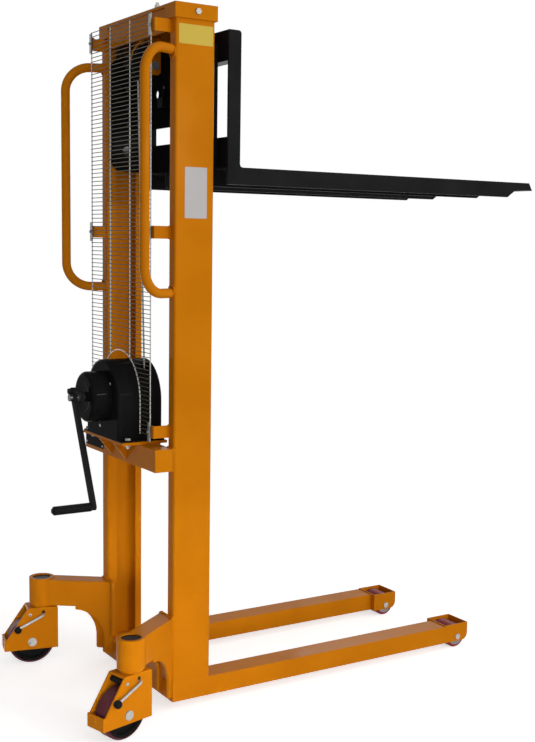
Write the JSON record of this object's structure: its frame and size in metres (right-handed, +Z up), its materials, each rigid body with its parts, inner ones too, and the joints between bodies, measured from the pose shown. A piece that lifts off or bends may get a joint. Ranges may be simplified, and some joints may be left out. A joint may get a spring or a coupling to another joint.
{
  "type": "hand pallet stacker",
  "caption": "Hand-wound pallet stacker: forks on a roller carriage climb a channel mast on a wire rope from a crank winch, over straddle legs and braked swivel casters.",
  "frame": {"origin": "on the floor, under the middle of the truck's length and width", "axes": "+X forward along the forks, +Y to the operator's left, +Z up"},
  "size_m": [1.681, 0.8289, 2.062],
  "materials": {
    "orange_paint": "semi-gloss orange coat",
    "black_paint": "satin black coat",
    "zinc_steel": "zinc plated",
    "wire_rope": "oiled wire rope",
    "machined_steel": "machined steel",
    "maroon_tread": "cast polyurethane tread",
    "black_plastic": "moulded black"
  },
  "bodies": {
    "frame": {"left_upright": "orange_paint", "right_upright": "orange_paint", "top_cap": "orange_paint", "head_beam": "orange_paint", "left_leg": "orange_paint", "right_leg": "orange_paint", "base_beam": "orange_paint", "roller_housings": "orange_paint", "load_roller_axles": "zinc_steel", "swivel_tubes": "orange_paint", "swivel_caps": "black_plastic", "outrigger_arms": "orange_paint", "outrigger_gussets": "orange_paint", "winch_beam": "orange_paint", "winch_shelf": "orange_paint", "shelf_gussets": "orange_paint", "frame_bolts": "zinc_steel", "winch_cover": "black_paint", "gear_cover": "black_paint", "winch_frame": "black_paint", "right_handle": "orange_paint", "left_handle": "orange_paint", "guard_mesh": "zinc_steel", "guard_tabs": "orange_paint", "guard_clamps": "zinc_steel", "pulley_plates": "orange_paint", "pulley_axle": "zinc_steel", "rope_run": "wire_rope"},
    "carriage": {"right_carriage_plate": "black_paint", "left_carriage_plate": "black_paint", "carriage_pins": "zinc_steel", "rope_panel": "black_paint", "rope_anchor": "black_paint", "upper_fork_beam": "black_paint", "lower_fork_beam": "black_paint", "right_fork": "black_paint", "left_fork": "black_paint", "rope_fall": "wire_rope"},
    "top_pulley": {"top_pulley": "machined_steel"},
    "winch_drum": {"winch_drum": "machined_steel", "rope_winding": "wire_rope"},
    "crank": {"crank_shaft": "zinc_steel", "crank_arm": "black_paint"},
    "crank_grip": {"crank_grip": "black_plastic"},
    "right_upper_roller": {"right_upper_roller": "machined_steel"},
    "right_lower_roller": {"right_lower_roller": "machined_steel"},
    "right_load_roller": {"right_load_roller": "maroon_tread"},
    "right_caster": {"right_caster_yoke": "orange_paint", "right_caster_pins": "zinc_steel"},
    "right_caster_wheel": {"right_caster_core": "black_plastic", "right_caster_tyre": "maroon_tread"},
    "right_brake_lever": {"right_brake_lever": "zinc_steel"},
    "left_upper_roller": {"left_upper_roller": "machined_steel"},
    "left_lower_roller": {"left_lower_roller": "machined_steel"},
    "left_load_roller": {"left_load_roller": "maroon_tread"},
    "left_caster": {"left_caster_yoke": "orange_paint", "left_caster_pins": "zinc_steel"},
    "left_caster_wheel": {"left_caster_core": "black_plastic", "left_caster_tyre": "maroon_tread"},
    "left_brake_lever": {"left_brake_lever": "zinc_steel"}
  },
  "joints": [
    {"name": "carriage_lift", "type": "slide", "parent": "frame", "child": "carriage", "axis": [0, 0, 1], "range_m": [-1.506, 0], "deforming": ["rope_fall"]},
    {"name": "pulley_turn", "type": "hinge", "parent": "frame", "child": "top_pulley", "pos_m": [-0.4655, 0, 1.9], "axis": [0, 1, 0], "range_deg": [0, 2006.68]},
    {"name": "drum_turn", "type": "hinge", "parent": "frame", "child": "winch_drum", "pos_m": [-0.5255, 0.004, 0.919], "axis": [1, 0, 0], "range_deg": [-1321.4, 0]},
    {"name": "crank_turn", "type": "hinge", "parent": "frame", "child": "crank", "pos_m": [-0.6735, 0.004, 0.919], "axis": [1, 0, 0], "range_deg": [-7928.4, 0]},
    {"name": "crank_grip_turn", "type": "hinge", "parent": "crank", "child": "crank_grip", "pos_m": [-0.7785, -0.13715, 0.61629], "axis": [1, 0, 0], "continuous": true},
    {"name": "right_upper_roller_turn", "type": "hinge", "parent": "carriage", "child": "right_upper_roller", "pos_m": [-0.4515, -0.237, 1.933], "axis": [0, 1, 0], "range_deg": [-1521.82, 0]},
    {"name": "right_lower_roller_turn", "type": "hinge", "parent": "carriage", "child": "right_lower_roller", "pos_m": [-0.4515, -0.237, 1.663], "axis": [0, 1, 0], "range_deg": [0, 1521.82]},
    {"name": "right_load_roller_turn", "type": "hinge", "parent": "frame", "child": "right_load_roller", "pos_m": [0.5895, -0.205, 0.04], "axis": [0, 1, 0], "continuous": true},
    {"name": "right_caster_swivel", "type": "hinge", "parent": "frame", "child": "right_caster", "pos_m": [-0.6905, -0.345, 0.19], "axis": [0, 0, 1], "continuous": true},
    {"name": "right_caster_roll", "type": "hinge", "parent": "right_caster", "child": "right_caster_wheel", "pos_m": [-0.72632, -0.35426, 0.075], "axis": [-0.2504, 0.9681, 0], "continuous": true},
    {"name": "right_brake_tip", "type": "hinge", "parent": "right_caster", "child": "right_brake_lever", "pos_m": [-0.6905, -0.345, 0.166], "axis": [-0.2504, 0.9681, 0], "range_deg": [0, 30]},
    {"name": "left_upper_roller_turn", "type": "hinge", "parent": "carriage", "child": "left_upper_roller", "pos_m": [-0.4515, 0.237, 1.933], "axis": [0, 1, 0], "range_deg": [-1521.82, 0]},
    {"name": "left_lower_roller_turn", "type": "hinge", "parent": "carriage", "child": "left_lower_roller", "pos_m": [-0.4515, 0.237, 1.663], "axis": [0, 1, 0], "range_deg": [0, 1521.82]},
    {"name": "left_load_roller_turn", "type": "hinge", "parent": "frame", "child": "left_load_roller", "pos_m": [0.5895, 0.205, 0.04], "axis": [0, 1, 0], "continuous": true},
    {"name": "left_caster_swivel", "type": "hinge", "parent": "frame", "child": "left_caster", "pos_m": [-0.6905, 0.345, 0.19], "axis": [0, 0, 1], "continuous": true},
    {"name": "left_caster_roll", "type": "hinge", "parent": "left_caster", "child": "left_caster_wheel", "pos_m": [-0.72662, 0.35301, 0.075], "axis": [0.2164, 0.9763, 0], "continuous": true},
    {"name": "left_brake_tip", "type": "hinge", "parent": "left_caster", "child": "left_brake_lever", "pos_m": [-0.6905, 0.345, 0.166], "axis": [0.2164, 0.9763, 0], "range_deg": [0, 30]}
  ],
  "couplings": [
    {"joint": "pulley_turn", "follows": "carriage_lift", "rad_per_m": -23.256},
    {"joint": "drum_turn", "follows": "carriage_lift", "rad_per_m": 15.314},
    {"joint": "crank_turn", "follows": "carriage_lift", "rad_per_m": 91.884},
    {"joint": "right_upper_roller_turn", "follows": "carriage_lift", "rad_per_m": 17.637},
    {"joint": "right_lower_roller_turn", "follows": "carriage_lift", "rad_per_m": -17.637},
    {"joint": "left_upper_roller_turn", "follows": "carriage_lift", "rad_per_m": 17.637},
    {"joint": "left_lower_roller_turn", "follows": "carriage_lift", "rad_per_m": -17.637}
  ]
}
